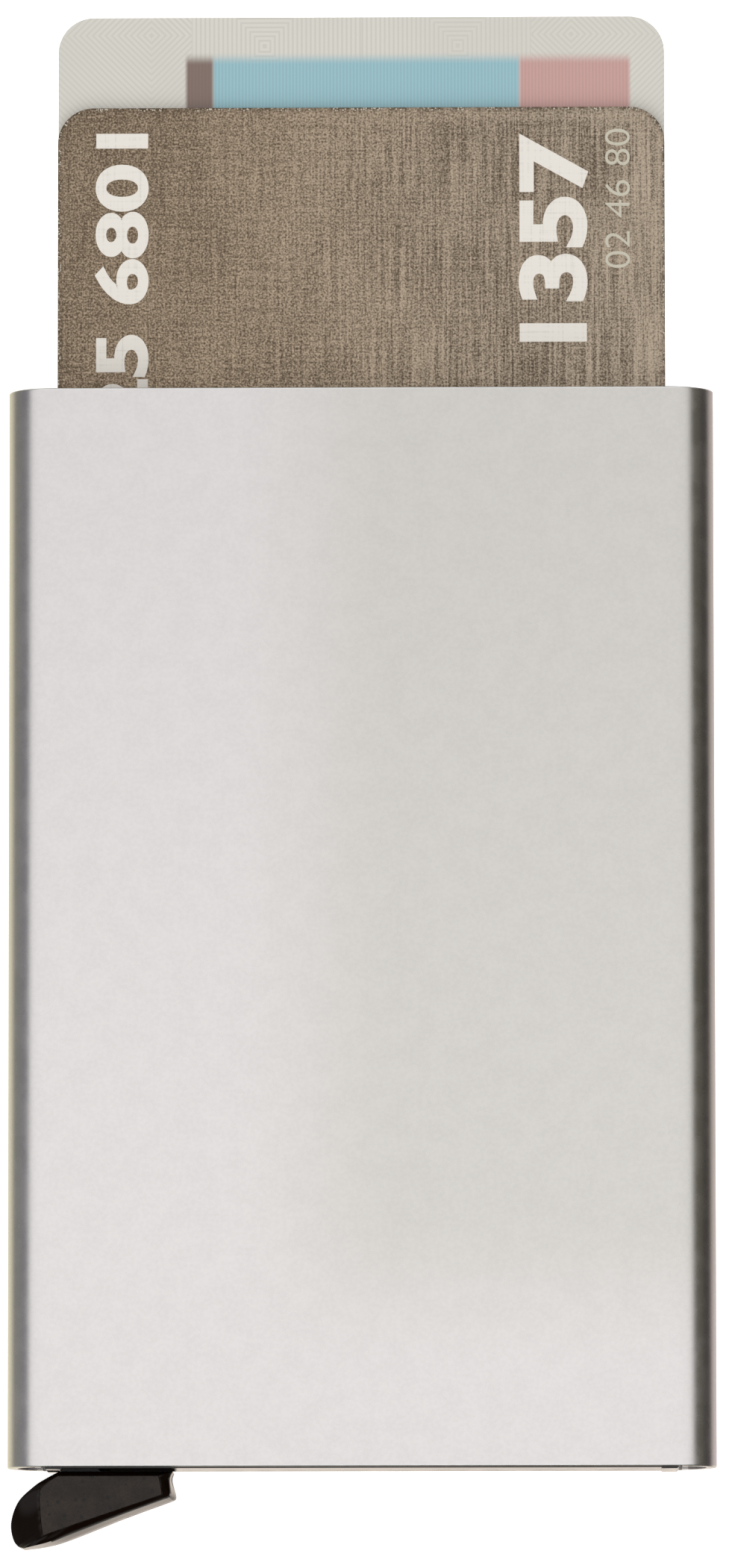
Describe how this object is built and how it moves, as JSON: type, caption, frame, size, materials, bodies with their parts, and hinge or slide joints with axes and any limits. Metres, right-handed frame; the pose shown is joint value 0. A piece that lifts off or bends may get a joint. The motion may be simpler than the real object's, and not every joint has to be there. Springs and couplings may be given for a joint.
{
  "type": "aluminium card holder",
  "caption": "Slim aluminium sleeve for bank cards with round sides; a thumb lever at the bottom corner turns a stepped ejector that fans the cards out of the open top.",
  "frame": {"origin": "centre of the sleeve's flat back face", "axes": "+X to the right seen from the front, +Y along the sleeve towards the card mouth, +Z out of the front face"},
  "size_m": [0.0624, 0.1365, 0.008],
  "materials": {
    "satin_aluminium": "bead blasted and clear anodised, satin",
    "gloss_black": "gloss black with a matt dark panel on the front",
    "dark_plastic": "smooth black moulding",
    "ejector_plastic": "matt black moulding",
    "pin_steel": "plain ground pin",
    "grip_strip": "short dark pile",
    "foam": "soft dark foam rubber",
    "metal_card": "brown grey, brushed in a linen pattern",
    "plastic_card": "laminated milky plastic",
    "chip_contacts": "gold plated"
  },
  "bodies": {
    "sleeve": {"housing": "satin_aluminium", "bottom_plate": "dark_plastic", "pivot_pin": "pin_steel", "grip_strip_left": "grip_strip", "grip_strip_right": "grip_strip", "foam_strip_left": "foam", "foam_strip_right": "foam"},
    "lever_and_ejector": {"lever": "gloss_black", "lever_pin": "pin_steel", "ejector": "ejector_plastic"},
    "front_card_body": {"front_card": "metal_card", "card_chip": "chip_contacts"},
    "rear_card_body": {"rear_card": "plastic_card"}
  },
  "joints": [
    {"name": "lever_pivot", "type": "hinge", "parent": "sleeve", "child": "lever_and_ejector", "pos_m": [-0.0283, -0.0451, 0.004], "axis": [0, 0, 1], "range_deg": [-42, 0]},
    {"name": "front_card_slide", "type": "slide", "parent": "sleeve", "child": "front_card_body", "axis": [0, 1, 0], "range_m": [-0.0258, 0]},
    {"name": "rear_card_slide", "type": "slide", "parent": "sleeve", "child": "rear_card_body", "axis": [0, 1, 0], "range_m": [-0.0341, 0]}
  ],
  "couplings": [
    {"joint": "front_card_slide", "follows": "lever_pivot", "m_per_rad": 0.035195},
    {"joint": "rear_card_slide", "follows": "lever_pivot", "m_per_rad": 0.046518}
  ]
}
